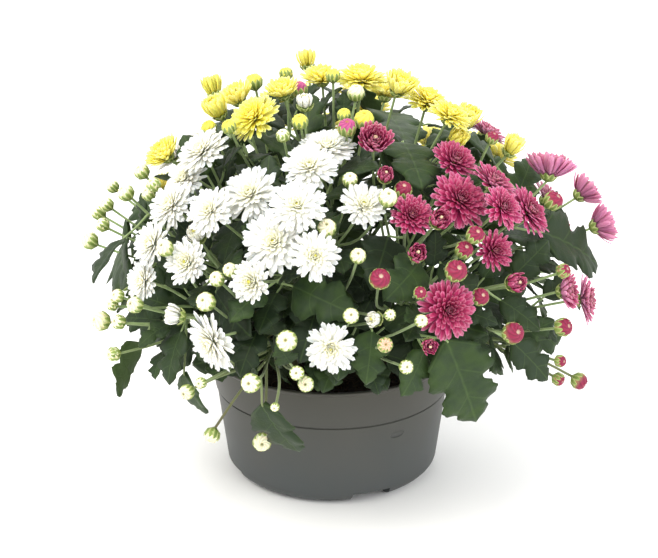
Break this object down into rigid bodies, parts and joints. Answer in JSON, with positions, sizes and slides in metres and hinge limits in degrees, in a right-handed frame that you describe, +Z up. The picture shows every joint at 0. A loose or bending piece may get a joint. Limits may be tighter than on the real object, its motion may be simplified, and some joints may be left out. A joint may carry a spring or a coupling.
{
  "type": "pot chrysanthemum",
  "caption": "White, yellow and magenta chrysanthemums in full bloom, grown as one low dome over a round grey plastic bowl of soil.",
  "frame": {"origin": "centre of the pot's flat underside, on the surface that the pot stands on", "axes": "+Z up; the side with the white blooms on its left and the magenta ones on its right faces -Y; the yellow blooms are at the back, towards +Y"},
  "size_m": [0.4632, 0.415, 0.3729],
  "materials": {
    "pot": "satin injection-moulded plastic",
    "soil": "rough, crumbly peat",
    "green": "matt, slightly waxy leaf",
    "white_petal": "soft matt petal",
    "yellow_petal": "soft matt petal",
    "magenta_petal": "soft matt petal"
  },
  "bodies": {
    "root": {"magenta_bloom_01": "magenta_petal", "magenta_bloom_02": "magenta_petal", "magenta_bloom_03": "magenta_petal", "magenta_bloom_04": "magenta_petal", "magenta_bloom_05": "magenta_petal", "magenta_bloom_06": "magenta_petal", "magenta_bloom_07": "magenta_petal", "magenta_bloom_08": "magenta_petal", "magenta_bloom_09": "magenta_petal", "magenta_bloom_10": "magenta_petal", "magenta_bloom_11": "magenta_petal", "magenta_bloom_12": "magenta_petal", "magenta_bloom_13": "magenta_petal", "magenta_bloom_14": "magenta_petal", "magenta_bloom_15": "magenta_petal", "magenta_bloom_16": "magenta_petal", "magenta_plant": "green", "pot": "pot", "soil": "soil", "white_bloom_01": "white_petal", "white_bloom_02": "white_petal", "white_bloom_03": "white_petal", "white_bloom_04": "white_petal", "white_bloom_05": "white_petal", "white_bloom_06": "white_petal", "white_bloom_07": "white_petal", "white_bloom_08": "white_petal", "white_bloom_09": "white_petal", "white_bloom_10": "white_petal", "white_bloom_11": "white_petal", "white_bloom_12": "white_petal", "white_bloom_13": "white_petal", "white_bloom_14": "white_petal", "white_bloom_15": "white_petal", "white_bloom_16": "white_petal", "white_bloom_17": "white_petal", "white_bloom_18": "white_petal", "white_plant": "green", "yellow_bloom_01": "yellow_petal", "yellow_bloom_02": "yellow_petal", "yellow_bloom_03": "yellow_petal", "yellow_bloom_04": "yellow_petal", "yellow_bloom_05": "yellow_petal", "yellow_bloom_06": "yellow_petal", "yellow_bloom_07": "yellow_petal", "yellow_bloom_08": "yellow_petal", "yellow_bloom_09": "yellow_petal", "yellow_bloom_10": "yellow_petal", "yellow_bloom_11": "yellow_petal", "yellow_bloom_12": "yellow_petal", "yellow_bloom_13": "yellow_petal", "yellow_bloom_14": "yellow_petal", "yellow_bloom_15": "yellow_petal", "yellow_bloom_16": "yellow_petal", "yellow_bloom_17": "yellow_petal", "yellow_bloom_18": "yellow_petal", "yellow_plant": "green"}
  },
  "joints": []
}
